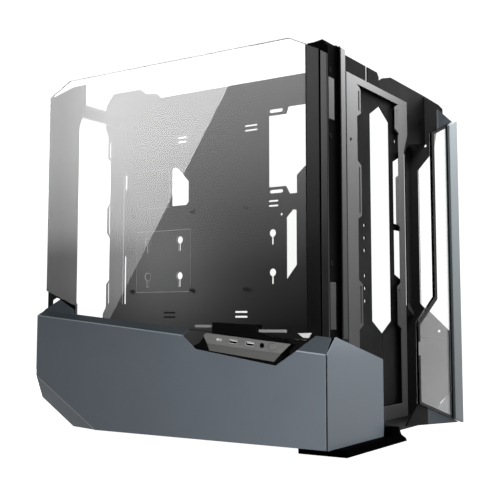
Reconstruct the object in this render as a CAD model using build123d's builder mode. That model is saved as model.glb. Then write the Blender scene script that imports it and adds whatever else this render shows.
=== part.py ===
from build123d import *
import math
import os

# Overall size. Front towards +X, glass side towards -Y, floor at Z 0.
depth = 545.0
width = 424.0

# Sheet, glass and clearances
steel = 2.0
skin = 2.0
glass_t = 4.0
seam = 0.5
port_fit = 0.1
button_gap = 0.4

# Feet and floor
pad_h = 2.0
pad_r = 11.0
foot_h = 10.0
foot_setback = 9.5
foot_inset = 20.0
front_foot_l = 72.0
front_foot_w = 193.0
foot_slope = 9.0
heel_block_h = 12.0
rear_foot_l = 70.0
rear_foot_w = 119.0
rear_foot_inset = 94.0
right_foot_r = 17.0
right_foot_inset = 50.0
floor_rear_gap = 15.0
floor_corner_x = 68.0
floor_corner_y = 83.0
floor_lip = 16.0

# Shroud
shroud_setback = 26.5
shroud_back_h = 183.0
shroud_front_h = 131.5
shroud_front_w = 169.0
shroud_drop = 11.5
rise_back = 8.5
rise_front = 22.0
tail_h = 6.5
tail_peak = 33.5
tail_l = 64.5
peak_y = 32.0
heel_l = 126.5
heel_h = 77.0
heel_drop = 35.5
heel_in = 15.0
flange_w = 27.0

# Glass sheets and rear post
glass_inset = 17.0
glass_over = 10.0
glass_back_gap = 1.5
glass_front_gap = 64.5
glass_tuck = 10.0
corner_run = 43.0
corner_drop = 22.0
nose_run = 27.0
nose_drop = 13.0
trim_w = 5.0
rear_over = 2.0
post_w = 58.0
post_low = 197.0
slant_h = 25.0
tube_r = 12.0
tube_bore_r = 4.0
tube_down = 28.0
clip_t = 4.0

# Board tray
tray_gap = 135.0
tab_rise = 21.0
tab_l = 71.0
tab_rear = 8.5
tray_back_gap = 11.0
cover_t = 1.0
tie_l = 24.0
tie_w = 2.8
tie_pitch = 7.4
grip_w = 5.5
guide_w = 4.0
key_r = 6.0
key_l = 18.0
key_w = 3.4
peg_r = 2.0
board_hole_x = 60.0
board_hole_down = 45.0
board_pitch_x = 227.33
board_mid_x = 124.46
board_pitch_z = 281.94
board_mid_z = 154.94
stud_r = 3.2
stud_h = 6.5
stud_bore_r = 1.5

# Front post
post_depth = 31.5
post_width = 36.5
post_height = 548.0
cap_t = 2.0
cap_cut = 8.0
band_t = 3.0
band_w = 19.5
band_gap = 2.0
web_back = 5.0
strip_w = 13.0
strip_up = 3.0
strip_down = 2.0
latch_w = 21.0
latch_t = 2.0
latch_l = 57.0
latch_more = 5.0
latch_down = 76.5
latch_up = 40.0

# Front wall and radiator frame
wall_setback = 50.5
wall_over = 4.0
right_rise = 4.0
wall_mid = 9.5
wall_seam = 1.0
wall_slit = 6.0
hex_w = 70.0
hex_down = 51.0
hex_low = 155.0
hex_slope = 19.0
fan_pitch = 115.0
fan_step = 18.3
fan_slot_in = 10.0
fan_slot_out = 15.0
bracket_h = 82.0
fan_bolt_r = 3.3
frame_hole_r = 2.8
side_hole_r = 2.3
frame_stand = 8.0
frame_mid = -10.0
frame_w = 215.0
frame_down = 28.0
frame_head = 10.5
frame_side = 33.0
frame_taper = 15.0
tab_out = 12.0
slit_w = 3.0
frame_slit_w = 4.5

# Right side frame, glass and wing
side_inset = 18.0
side_back_gap = 14.5
side_rail_h = 182.0
rail_top = 148.0
rail_run = 50.0
side_post_w = 24.0
side_fold = 22.0
wing_t = 3.0
bar_t = 5.0
bar_w = 36.0
wing_top = 510.5
wing_low = 8.5
border_t = 0.8
border = 4.0
border_upper = 10.0
border_lower = 6.0
border_gap_z = 123.0
border_gap = 20.0
pane_upper_y = 106.0
pane_lower_y = 37.0

# Front sockets and button
io_front = 47.0
io_length = 183.0
io_drop = 23.0
io_deep = 20.0
face_recess = 1.0
io_raise = 7.6
housing_step = 1.0
io_split = -6.5
port_h = 0.8
usb_a_w = 13.2
usb_a_h = 5.8
usb_c_w = 9.2
usb_c_h = 3.6
shell_t = 0.5
jack_r = 3.4
jack_bore_r = 1.8
button_r = 5.0
button_proud = 0.8
button_l = 4.6
button_room = 2.4
ring_w = 1.6
ring_t = 0.5
rod_r = 2.2
rod_rear_z = 167.0
rod_front_z = 161.0
rod_rear_l = 33.0
rod_front_l = 42.0

# Fastener heads
head_r = 3.8
head_h = 2.0
socket_r = 1.6
socket_deep = 1.2
screw_in = 21.0
screw_down = 47.0

# Planes and levels that several pieces share
rear_x = -depth / 2
front_x = depth / 2
left_y = -width / 2
right_y = width / 2
lift = pad_h + foot_h
floor_z = lift + skin
floor_top = floor_z + steel
shroud_x = front_x - shroud_setback
io_start = shroud_x - io_front - io_length
glass_y = left_y + glass_inset
glass_in = glass_y + glass_t
glass_back = rear_x + glass_back_gap
glass_front = front_x - glass_front_gap
tray_y = glass_y + tray_gap
tray_back = rear_x + tray_back_gap
wall_x = front_x - wall_setback
wall_back = wall_x - steel
frame_x = wall_x + frame_stand
post_y = glass_y + band_t
post_in = post_y + post_width
post_back = glass_front + seam
post_front = post_back + post_depth
wall_top = post_height + wall_over
right_top = wall_top + right_rise
frame_top = wall_top - frame_down
hex_top = wall_top - hex_down
post_top = post_height + rear_over
glass_top = post_top + glass_over
tray_top = post_top
web_x = post_front - web_back
side_y = right_y - side_inset
side_out = side_y + steel
bar_x = front_x - bar_t
pane_x = bar_x - glass_t
wing_x = pane_x - wing_t
floor_rear = rear_x + floor_rear_gap
floor_front = shroud_x - skin - seam
floor_left = glass_in - steel
fold_x = glass_front - seam
flange_x = fold_x - side_post_w / 2
peak_lean = shroud_x - post_front - skin - seam


def save(piece, node):
    piece.part.label = node
    export_step(piece.part, f"parts/{node}.step")


def side_sheet(points, y, thick, mode=Mode.ADD):
    with BuildSketch(Plane.XZ.offset(-y)) as outline:
        Polygon(*points, align=None)
    extrude(outline.sketch, amount=-thick, mode=mode)


def front_sheet(points, x, thick, mode=Mode.ADD):
    with BuildSketch(Plane.YZ.offset(x)) as outline:
        Polygon(*points, align=None)
    extrude(outline.sketch, amount=thick, mode=mode)


def flat_sheet(points, z, thick, mode=Mode.ADD):
    with BuildSketch(Plane.XY.offset(z)) as outline:
        Polygon(*points, align=None)
    extrude(outline.sketch, amount=thick, mode=mode)


def block(x0, x1, y0, y1, z0, z1, mode=Mode.ADD):
    flat_sheet([(x0, y0), (x1, y0), (x1, y1), (x0, y1)], z0, z1 - z0, mode)


def folded_flap(corner, along, inward, points, thick):
    flap = Plane(origin=corner, x_dir=along - corner, z_dir=(along - corner).cross(inward - corner))
    with BuildSketch(flap) as outline:
        Polygon(*[tuple(flap.to_local_coords(p))[:2] for p in points], align=None)
    extrude(outline.sketch, amount=thick)


def edge_z(x):
    return shroud_back_h + (shroud_front_h - shroud_back_h) * (x - rear_x) / (shroud_x - rear_x)


def lip_z(x):
    if x > io_start:
        return edge_z(x) + rise_front
    return edge_z(x) + rise_back


def along_edge(points):
    return [(x, edge_z(x) + h) for x, h in points]


def screw_heads(places, plane):
    with BuildSketch(plane) as heads:
        with Locations(*places):
            Circle(head_r)
    extrude(heads.sketch, amount=head_h)
    with BuildSketch(plane.offset(head_h)) as sockets:
        with Locations(*places):
            RegularPolygon(socket_r, 6)
    extrude(sockets.sketch, amount=-socket_deep, mode=Mode.SUBTRACT)


os.makedirs("parts", exist_ok=True)

# Rubber pads and moulded feet
pad_spots = [
    (front_x - foot_setback - front_foot_l / 2, left_y + foot_inset + front_foot_w * 0.15),
    (front_x - foot_setback - front_foot_l / 2, left_y + foot_inset + front_foot_w * 0.85),
    (floor_rear + rear_foot_l / 2, left_y + rear_foot_inset + rear_foot_w * 0.2),
    (floor_rear + rear_foot_l / 2, left_y + rear_foot_inset + rear_foot_w * 0.8),
]
right_spots = [
    (wall_back - 2 * right_foot_inset, right_y - right_foot_inset),
    (floor_rear + right_foot_inset, right_y - right_foot_inset),
]

with BuildPart() as foot_pads:
    with BuildSketch(Plane.XY):
        with Locations(*pad_spots, *right_spots):
            Circle(pad_r)
    extrude(amount=pad_h)
save(foot_pads, "foot_pads")

foot_x = front_x - foot_setback
foot_y = left_y + foot_inset
with BuildPart() as front_foot:
    front_sheet(
        [
            (foot_y, pad_h),
            (foot_y + front_foot_w, pad_h),
            (foot_y + front_foot_w - foot_slope, lift),
            (foot_y, lift),
        ],
        foot_x - front_foot_l,
        front_foot_l,
    )
    chamfer(front_foot.edges().filter_by(Axis.Y).group_by(Axis.Z)[-1].sort_by(Axis.X)[-1], foot_h / 2)
    front_sheet(
        [
            (left_y + shroud_front_w + seam, lift),
            (foot_y + front_foot_w - foot_slope, lift),
            (foot_y + front_foot_w - 2 * foot_slope, lift + heel_block_h),
            (left_y + shroud_front_w + seam, lift + heel_block_h),
        ],
        shroud_x - skin,
        foot_x - foot_h / 2 - shroud_x + skin,
    )
save(front_foot, "front_foot")

with BuildPart() as rear_foot:
    rear_foot_y = left_y + rear_foot_inset
    block(floor_rear, floor_rear + rear_foot_l, rear_foot_y, rear_foot_y + rear_foot_w, pad_h, floor_z)
    chamfer(rear_foot.edges().filter_by(Axis.Z), foot_h / 2)
save(rear_foot, "rear_foot")

with BuildPart() as right_feet:
    with BuildSketch(Plane.XY.offset(pad_h)):
        with Locations(*right_spots):
            Circle(right_foot_r)
    extrude(amount=floor_z - pad_h)
save(right_feet, "right_feet")

# Floor sheet with a turned-up front lip and cooling slots
with BuildPart() as floor_plate:
    flat_sheet(
        [
            (floor_rear, floor_left + floor_corner_y),
            (floor_rear + floor_corner_x, floor_left),
            (floor_front, floor_left),
            (floor_front, side_y),
            (floor_rear, side_y),
        ],
        floor_z,
        steel,
    )
    lip_back = floor_front - steel
    block(lip_back, floor_front, left_y + shroud_front_w, side_y, floor_top, floor_top + floor_lip)
    with BuildSketch(Plane.XY.offset(floor_z)):
        with Locations(((floor_rear + tray_y) / 2, (tray_y + side_y) / 2)):
            with GridLocations(0, 12, 1, 9):
                SlotOverall(110, 5)
    extrude(amount=steel, mode=Mode.SUBTRACT)
save(floor_plate, "floor_plate")


# Lower shroud: one folded sheet on the glass side and one across the front
def shroud_section(x, rise):
    down = skin * (glass_inset**2 + rise**2) ** 0.5 / glass_inset
    top = edge_z(x)
    return [
        (left_y, lift),
        (left_y, top),
        (glass_y, top + rise),
        (glass_y, top + rise - down),
        (left_y + skin, top + rise * skin / glass_inset - down),
        (left_y + skin, lift),
    ]


def io_x(share):
    return io_start + share * io_length


io_end = io_x(1)
io_mid = io_x(0.5)
notch = along_edge([
    (io_start, 0),
    (io_x(0.126), -0.72 * io_drop),
    (io_x(0.836), -io_drop),
    (io_end, -0.04 * io_drop),
])
notch_top = lip_z(rear_x)
clip_end = io_x(1.12)
flange_split = foot_x - front_foot_l + foot_h
with BuildPart() as shroud_side:
    rear_part = (rise_back, rear_x, io_mid)
    front_part = (rise_front, io_mid, shroud_x - skin - seam)
    for rise, start_x, end_x in (rear_part, front_part):
        with BuildSketch(Plane.YZ.offset(start_x)):
            Polygon(*shroud_section(start_x, rise), align=None)
        with BuildSketch(Plane.YZ.offset(end_x)):
            Polygon(*shroud_section(end_x, rise), align=None)
        loft(ruled=True)
    side_sheet(
        [(rear_x, lift), (rear_x + heel_l, lift), (rear_x, lift + heel_h)],
        left_y,
        glass_inset,
        Mode.SUBTRACT,
    )
    heel_top = Vector(rear_x, left_y, lift + heel_h)
    heel_end = Vector(rear_x + heel_l, left_y, lift)
    heel_back = Vector(rear_x, left_y + heel_in, lift + heel_h - heel_drop)
    heel_toe = Vector(rear_x + heel_l * (1 - heel_drop / heel_h), left_y + heel_in, lift)
    folded_flap(heel_top, heel_end, heel_back, [heel_top, heel_end, heel_toe, heel_back], skin)
    side_sheet(
        [*notch, (clip_end, lip_z(clip_end)), (clip_end, notch_top), (io_start, notch_top)],
        left_y,
        glass_inset,
        Mode.SUBTRACT,
    )
    side_sheet(
        [
            (rear_x, lip_z(rear_x) - skin),
            (rear_x + tail_l, lip_z(rear_x + tail_l) - skin),
            (rear_x + tail_l, lip_z(rear_x + tail_l) + tail_h),
            (rear_x + tail_peak, lip_z(rear_x + tail_peak) + 3 * tail_h),
            (rear_x, lip_z(rear_x)),
        ],
        glass_y - skin,
        skin,
    )
    block(
        rear_x + heel_l + flange_w,
        flange_split - seam,
        left_y + skin,
        left_y + flange_w,
        lift,
        floor_z,
    )
save(shroud_side, "shroud_side")

front_edge = left_y + shroud_front_w
front_edge_h = shroud_front_h - shroud_drop
with BuildPart() as shroud_front:
    front_sheet(
        [(left_y, lift), (front_edge, lift), (front_edge, front_edge_h), (left_y, shroud_front_h)],
        shroud_x - skin,
        skin,
    )
    fold_left = Vector(shroud_x, left_y, shroud_front_h)
    fold_right = Vector(shroud_x, front_edge, front_edge_h)
    fold_peak = Vector(shroud_x - peak_lean, left_y + peak_y, shroud_front_h + rise_front)
    folded_flap(fold_left, fold_right, fold_peak, [fold_left, fold_right, fold_peak], -skin)
    block(flange_split, shroud_x - skin, left_y + skin + seam, front_edge, lift, floor_z)
save(shroud_front, "shroud_front")

# Front sockets in the notch of the shroud
face_y = left_y + skin
face_out = left_y + face_recess
face = along_edge([
    (io_x(0.197), io_raise / 2),
    (io_x(0.224), io_raise),
    (io_x(0.962), io_raise),
    (io_x(0.907), -0.09 * io_drop),
    (io_x(0.880), io_split),
    (io_x(0.230), io_split),
])
strip = along_edge([
    (io_x(0.230), io_split),
    (io_x(0.880), io_split),
    (io_x(0.820), -0.80 * io_drop),
    (io_x(0.251), -0.70 * io_drop),
])
usb_a_x = [io_x(0.470), io_x(0.617)]
usb_c_x = io_x(0.344)
jack_x = io_x(0.721)
button_x = io_x(0.809)


def port_spots(places):
    return Locations(*along_edge([(x, port_h) for x in places]))


def tilted(places):
    turn = Rotation(0, 0, math.degrees(math.atan2(shroud_front_h - shroud_back_h, shroud_x - rear_x)))
    return Locations(*[Pos(x, edge_z(x) + port_h) * turn for x in places])


def port_holes(y, thick):
    with BuildSketch(Plane.XZ.offset(-y)) as holes:
        with tilted(usb_a_x):
            Rectangle(usb_a_w + 2 * port_fit, usb_a_h + 2 * port_fit)
        with tilted([usb_c_x]):
            SlotOverall(usb_c_w + 2 * port_fit, usb_c_h + 2 * port_fit)
        with port_spots([jack_x]):
            Circle(jack_r + port_fit)
        with port_spots([button_x]):
            Circle(button_r + button_gap)
    extrude(holes.sketch, amount=-thick, mode=Mode.SUBTRACT)


port_deep = face_out - button_proud + button_l + button_room - face_y
with BuildPart() as io_housing:
    side_sheet(
        along_edge([
            (io_x(0.153), -0.35 * io_drop),
            (io_x(0.219), io_raise - housing_step),
            (io_x(0.940), io_raise - housing_step),
            (io_x(0.885), -0.17 * io_drop),
            (io_x(0.874), -1.35 * io_drop),
            (io_x(0.087), -1.17 * io_drop),
            (io_x(0.087), -0.61 * io_drop),
        ]),
        face_y,
        io_deep,
    )
    port_holes(face_y, port_deep)
save(io_housing, "io_housing")

with BuildPart() as io_faceplate:
    side_sheet(face, face_out, face_y - face_out)
    port_holes(face_out, face_y - face_out)
save(io_faceplate, "io_faceplate")

with BuildPart() as io_lower_strip:
    side_sheet(strip, (face_out + face_y) / 2, (face_y - face_out) / 2)
save(io_lower_strip, "io_lower_strip")

port_back = face_y + port_deep
with BuildPart() as usb_a_ports:
    with BuildSketch(Plane.XZ.offset(-port_back)):
        with tilted(usb_a_x):
            Rectangle(usb_a_w, usb_a_h)
    extrude(amount=port_back - face_out)
    with BuildSketch(Plane.XZ.offset(-face_out)):
        with tilted(usb_a_x):
            Rectangle(usb_a_w - 2 * shell_t, usb_a_h - 2 * shell_t)
    extrude(amount=-port_deep, mode=Mode.SUBTRACT)
    with BuildSketch(Plane.XZ.offset(-port_back)):
        with tilted(usb_a_x):
            with Locations((0, usb_a_h / 6)):
                Rectangle(usb_a_w - 4 * shell_t, usb_a_h / 4)
    extrude(amount=port_deep)
save(usb_a_ports, "usb_a_ports")

with BuildPart() as usb_c_port:
    with BuildSketch(Plane.XZ.offset(-port_back)):
        with tilted([usb_c_x]):
            SlotOverall(usb_c_w, usb_c_h)
    extrude(amount=port_back - face_out)
    with BuildSketch(Plane.XZ.offset(-face_out)):
        with tilted([usb_c_x]):
            SlotOverall(usb_c_w - 2 * shell_t, usb_c_h - 2 * shell_t)
            Rectangle(usb_c_w / 2, usb_c_h / 5, mode=Mode.SUBTRACT)
    extrude(amount=-port_deep, mode=Mode.SUBTRACT)
save(usb_c_port, "usb_c_port")

with BuildPart() as audio_jack:
    with BuildSketch(Plane.XZ.offset(-port_back)):
        with port_spots([jack_x]):
            Circle(jack_r)
    extrude(amount=port_back - face_out)
    with BuildSketch(Plane.XZ.offset(-face_out)):
        with port_spots([jack_x]):
            Circle(jack_bore_r)
    extrude(amount=-port_deep, mode=Mode.SUBTRACT)
save(audio_jack, "audio_jack")

with BuildPart() as button_ring:
    with BuildSketch(Plane.XZ.offset(-face_out)):
        with port_spots([button_x]):
            Circle(button_r + button_gap + ring_w)
            Circle(button_r + button_gap, mode=Mode.SUBTRACT)
    extrude(amount=ring_t)
save(button_ring, "button_ring")

with BuildPart() as power_button:
    with BuildSketch(Plane.XZ.offset(-(face_out - button_proud))):
        with port_spots([button_x]):
            Circle(button_r)
    extrude(amount=-button_l)
    fillet(power_button.edges().group_by(Axis.Y)[0], button_proud / 2)
save(power_button, "power_button")

# Glass latch above the sockets
latch_x = [io_x(0.263), io_x(0.668)]
with BuildPart() as latch_block:
    side_sheet(
        along_edge([
            (latch_x[0], io_raise - housing_step),
            (io_x(0.935), io_raise - housing_step),
            (io_x(0.856), 0.58 * io_drop),
            (latch_x[1], 0.67 * io_drop),
            (latch_x[1], 1.17 * io_drop),
            (latch_x[0], io_drop),
        ]),
        face_y + skin,
        glass_y - face_y - skin,
    )
save(latch_block, "latch_block")

with BuildPart() as latch_rods:
    rod_y = (face_y + skin + glass_y) / 2
    rear_rod = (latch_x[0], rod_rear_z, -rod_rear_l)
    front_rod = (latch_x[1], rod_front_z, rod_front_l)
    for end_x, rod_z, rod_l in (rear_rod, front_rod):
        with BuildSketch(Plane.YZ.offset(end_x)):
            with Locations((rod_y, rod_z)):
                Circle(rod_r)
        extrude(amount=rod_l)
    fillet(latch_rods.edges().sort_by(Axis.X)[0], rod_r / 2)
    fillet(latch_rods.edges().sort_by(Axis.X)[-1], rod_r / 2)
save(latch_rods, "latch_rods")

# Side glass with its printed rear edge
glass_corner_x = 64.0
glass_outline = [
    (glass_back, glass_top - corner_drop),
    (glass_back + corner_run, glass_top),
    (glass_front - nose_run, glass_top),
    (glass_front, glass_top - nose_drop),
    (glass_front, lip_z(glass_front) - glass_tuck),
    (glass_back + 2 * glass_corner_x, lip_z(glass_back + 2 * glass_corner_x) - glass_tuck / 2),
    (glass_back + glass_corner_x, post_low - 2 * glass_tuck),
    (glass_back + glass_corner_x, post_low),
    (glass_back, post_low + slant_h),
]
with BuildPart() as left_glass:
    side_sheet(glass_outline, glass_y, glass_t)
save(left_glass, "left_glass")

with BuildPart() as glass_edge_trim:
    side_sheet(
        [
            (glass_back, post_low + slant_h),
            (glass_back + trim_w, post_low + slant_h - trim_w * slant_h / glass_corner_x),
            (glass_back + trim_w, glass_top - corner_drop + trim_w / 2),
            (glass_back, glass_top - corner_drop),
        ],
        glass_in,
        steel,
    )
save(glass_edge_trim, "glass_edge_trim")

with BuildPart() as glass_clip:
    side_sheet(
        along_edge([
            (io_x(0.978), 0.95 * io_drop),
            (io_x(1.09), 1.07 * io_drop),
            (io_x(1.065), 0.75 * io_drop),
            (io_x(1.025), 0.73 * io_drop),
        ]),
        glass_y - clip_t,
        clip_t,
    )
save(glass_clip, "glass_clip")

# Rear post behind the glass, its tab and the tube to the tray
post_left = glass_back + trim_w
post_right = post_left + post_w
leg_x = post_right + 23
leg_w = 35.0
with BuildPart() as rear_post:
    side_sheet(
        [
            (post_left, post_top - 11.5),
            (post_left + 45, post_top),
            (post_right + 13.5, post_top),
            (post_right + 13.5, post_top - 34),
            (post_right, post_top - 68),
            (post_right, post_low - 14),
            (leg_x + leg_w, post_low - 60),
            (leg_x + leg_w, floor_top),
            (leg_x, floor_top),
            (leg_x, post_low - 75),
            (post_right - 16, post_low - 26),
            (post_right - 16, post_low + 6),
            (post_left, post_low + slant_h - 3),
        ],
        glass_in,
        steel,
    )
save(rear_post, "rear_post")

with BuildPart() as rear_bracket:
    side_sheet(
        [
            (rear_x, post_low - 22),
            (rear_x + 8, post_low - 22),
            (rear_x + 10, post_low + 10),
            (rear_x + 18, post_low + 14),
            (rear_x + 26, post_low + 12),
            (rear_x + 28, post_low - 2),
            (post_right, post_low - 20),
            (post_right, post_low + 4),
            (rear_x, post_low + slant_h),
        ],
        glass_in + steel,
        steel,
    )
save(rear_bracket, "rear_bracket")

tube_x = post_left + 21
with BuildPart() as standoff_tube:
    with BuildSketch(Plane.XZ.offset(-(glass_in + steel))):
        with Locations((tube_x, post_top - tube_down)):
            Circle(tube_r)
            Circle(tube_bore_r, mode=Mode.SUBTRACT)
    extrude(amount=-(tray_y - glass_in - steel))
save(standoff_tube, "standoff_tube")


# Board tray; its openings are shares of its length and height from the rear top corner
def on_tray(points):
    return [(tray_back + along * tray_l, tray_top - down * tray_h) for along, down in points]


tray_l = wall_back - tray_back
tray_h = tray_top - floor_top
backed_tie = (0.285, 0.686)
tie_spots = on_tray([(0.614, 0.137), (0.576, 0.685), backed_tie])
short_ties = on_tray([(0.333, 0.145), (0.699, 0.367)])
key_spots = on_tray([(0.327, 0.457), (0.327, 0.567), (0.696, 0.453), (0.696, 0.566)])
loop_slits = ((0.147, 0.054), (0.378, 0.094), (0.616, 0.067))
inner_slits = ((0.261, 0.047), (0.575, 0.154))
rear_edge = on_tray([
    (0.009, 1.0), (0.009, 0.757), (-0.019, 0.730), (-0.019, 0.682), (-0.005, 0.661), (-0.005, 0.586),
    (0.009, 0.573), (0.009, 0.436), (-0.005, 0.421), (-0.005, 0.337), (0.009, 0.322),
    (0.009, 0.188), (-0.005, 0.176), (-0.005, 0.099),
])
grip_slots = on_tray([(0.710, 0.097), (0.710, 0.333)])
cooler_window = on_tray([
    (0.290, 0.350), (0.352, 0.350), (0.362, 0.341),
    (0.362, 0.277), (0.318, 0.236), (0.301, 0.230), (0.290, 0.234),
])
cable_window = on_tray([
    (0.682, 0.110), (0.747, 0.110), (0.755, 0.090), (0.855, 0.090), (0.855, 0.268), (0.815, 0.268),
    (0.786, 0.292), (0.786, 0.343), (0.759, 0.343), (0.745, 0.320), (0.682, 0.320),
])
side_slot = on_tray([
    (0.747, 0.588), (0.784, 0.547), (0.784, 0.391), (0.770, 0.389), (0.747, 0.410),
])


def key_holes(spots):
    with Locations(*spots):
        Circle(key_r)
    with Locations(*[(key_x, key_z - key_l / 2) for key_x, key_z in spots]):
        SlotOverall(key_l, key_w, rotation=90)


with BuildPart() as board_tray:
    side_sheet(
        [
            *rear_edge,
            (tray_back - tab_rear, tray_top - 2 * tab_rise),
            (tray_back - tab_rear, tray_top),
            (tray_back + tab_rear, tray_top + tab_rise),
            (tray_back + tab_l, tray_top + tab_rise),
            (tray_back + tab_l + tab_rise / 2, tray_top + tab_rise / 2),
            (tray_back + 1.5 * tab_l, tray_top + tab_rise * 0.4),
            (tray_back + 1.6 * tab_l, tray_top),
            (wall_back, tray_top),
            (wall_back, floor_top),
        ],
        tray_y,
        steel,
    )
    with BuildSketch(Plane.XZ.offset(-tray_y)):
        for spots, length in ((tie_spots, tie_l), (short_ties, 0.73 * tie_l)):
            for tie_x, tie_z in spots:
                with Locations((tie_x, tie_z - tie_pitch / 2), (tie_x, tie_z + tie_pitch / 2)):
                    SlotOverall(length, tie_w)
        key_holes(key_spots)
        with Locations(*on_tray([(0.729, 0.400)])):
            Circle(peg_r)
        for window in (cooler_window, cable_window, side_slot):
            Polygon(*window, align=None)
        with Locations(*grip_slots):
            SlotOverall(tie_l, grip_w)
        for mid, span in loop_slits:
            with Locations(*on_tray([(0.006, mid)])):
                SlotOverall(span * tray_h, slit_w, rotation=90)
        for mid, span in inner_slits:
            with Locations(*on_tray([(0.084, mid)])):
                SlotOverall(span * tray_h, guide_w, rotation=90)
    extrude(amount=-steel, mode=Mode.SUBTRACT)
save(board_tray, "board_tray")

stud_x = tray_back + board_hole_x
stud_z = tray_top - board_hole_down
stud_spots = [
    (stud_x + across, stud_z - down)
    for across in (0, board_mid_x, board_pitch_x)
    for down in (0, board_mid_z, board_pitch_z)
]

# Thin covers on the tray, and a plate behind one pair of tie slots
lower_cover = on_tray([(0.138, 0.616), (0.374, 0.616), (0.374, 0.425), (0.138, 0.425)])
upper_cover = on_tray([
    (0.136, 0.343), (0.148, 0.354), (0.279, 0.354), (0.279, 0.232), (0.148, 0.232), (0.136, 0.243),
])
cable_guide = on_tray([(0.047, 0.238), (0.076, 0.238), (0.076, 0.652), (0.047, 0.622)])
cover_keys = on_tray([(0.190, 0.457), (0.190, 0.567)])
with BuildPart() as tray_cover:
    for cover in (lower_cover, upper_cover, cable_guide):
        side_sheet(cover, tray_y - cover_t, cover_t)
    with BuildSketch(Plane.XZ.offset(-(tray_y - cover_t))):
        key_holes([*key_spots[:2], *cover_keys])
    extrude(amount=-cover_t, mode=Mode.SUBTRACT)
    with BuildSketch(Plane.XZ.offset(-(tray_y + steel))):
        with Locations(*on_tray([backed_tie])):
            Rectangle(tie_l + 2 * tie_pitch, 4 * tie_pitch)
    extrude(amount=-cover_t)
save(tray_cover, "tray_cover")

with BuildPart() as board_standoffs:
    with BuildSketch(Plane.XZ.offset(-tray_y)):
        with Locations(*stud_spots):
            RegularPolygon(stud_r, 6)
    extrude(amount=stud_h)
    with BuildSketch(Plane.XZ.offset(-(tray_y - stud_h))):
        with Locations(*stud_spots):
            Circle(stud_bore_r)
    extrude(amount=-stud_h, mode=Mode.SUBTRACT)
save(board_standoffs, "board_standoffs")

# Power supply bracket behind the tray
supply_w = 163.0
supply_h = 109.0
supply_y = tray_y + steel
with BuildPart() as supply_bracket:
    front_sheet(
        [
            (supply_y, floor_top),
            (supply_y + supply_w, floor_top),
            (supply_y + supply_w, floor_top + supply_h),
            (supply_y, floor_top + supply_h),
        ],
        floor_rear,
        steel,
    )
    with BuildSketch(Plane.YZ.offset(floor_rear)):
        with Locations((supply_y + supply_w / 2, floor_top + supply_h / 2)):
            Rectangle(120, 72)
            with GridLocations(138, 64, 2, 2):
                Circle(2)
    extrude(amount=steel, mode=Mode.SUBTRACT)
save(supply_bracket, "supply_bracket")

# Front post with its bands, latch plates and cap
with BuildPart() as front_post:
    flat_sheet(
        [
            (post_back, post_y),
            (post_front, post_y),
            (post_front, post_y + steel),
            (web_x, post_y + steel),
            (web_x, post_in - steel),
            (post_front, post_in - steel),
            (post_front, post_in),
            (post_back, post_in),
            (post_back, post_in - steel),
            (web_x - steel, post_in - steel),
            (web_x - steel, post_y + steel),
            (post_back, post_y + steel),
        ],
        floor_top,
        post_height - floor_top,
    )
    side_sheet(
        [
            (post_front - cap_cut, post_height),
            (post_front, post_height - cap_cut),
            (post_front, post_height),
        ],
        post_y,
        steel,
        Mode.SUBTRACT,
    )
save(front_post, "front_post")

with BuildPart() as post_cap:
    flat_sheet(
        [
            (post_back, post_y + cap_cut),
            (post_front - cap_cut, post_y),
            (post_front - cap_cut, post_in - cap_cut / 2),
            (post_front - cap_cut / 2, post_in),
            (post_back, post_in),
        ],
        post_height,
        cap_t,
    )
save(post_cap, "post_cap")

band_split = post_back + band_w
band_low = lip_z(post_back) - glass_tuck
with BuildPart() as post_band_outer:
    side_sheet(
        [
            (post_back, band_low),
            (band_split, band_low),
            (band_split, post_height - 11),
            (post_back, post_height - 2),
        ],
        glass_y,
        band_t,
    )
save(post_band_outer, "post_band_outer")

with BuildPart() as post_band_inner:
    side_sheet(
        [
            (band_split + band_gap, band_low),
            (post_front, band_low),
            (post_front, post_height - 19),
            (band_split + band_gap, post_height - 13),
        ],
        glass_y,
        band_t,
    )
save(post_band_inner, "post_band_inner")

latch_y = post_y + steel + seam
with BuildPart() as latch_plates:
    upper_plate = (post_height - latch_down, latch_l)
    lower_plate = (lip_z(post_front) + latch_up, latch_l + latch_more)
    for plate_mid, plate_l in (upper_plate, lower_plate):
        plate_low = plate_mid - plate_l / 2
        block(web_x, web_x + latch_t, latch_y, latch_y + latch_w, plate_low, plate_low + plate_l)
    front_sheet(
        [
            (side_y - side_fold, side_rail_h + side_fold),
            (side_y, side_rail_h + side_fold / 3),
            (side_y, side_rail_h),
            (side_y - side_fold, side_rail_h + side_fold / 2),
        ],
        flange_x,
        cover_t,
    )
save(latch_plates, "latch_plates")

with BuildPart() as corner_strip:
    strip_y = post_in - steel
    strip_top = post_height - strip_down
    strip_low = shroud_front_h + rise_front - strip_up
    front_sheet(
        [
            (strip_y, strip_low),
            (strip_y + strip_w, strip_low),
            (strip_y + strip_w, strip_top - steel),
            (strip_y + strip_w - steel, strip_top),
            (strip_y, strip_top),
        ],
        post_front,
        steel,
    )
save(corner_strip, "corner_strip")

with BuildPart() as post_screws:
    screw_z = [floor_top + part * (post_height - floor_top) for part in (0.23, 0.44, 0.76, 0.93)]
    screw_heads([(latch_y + latch_w / 2, z) for z in screw_z], Plane.YZ.offset(web_x))
save(post_screws, "post_screws")

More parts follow.
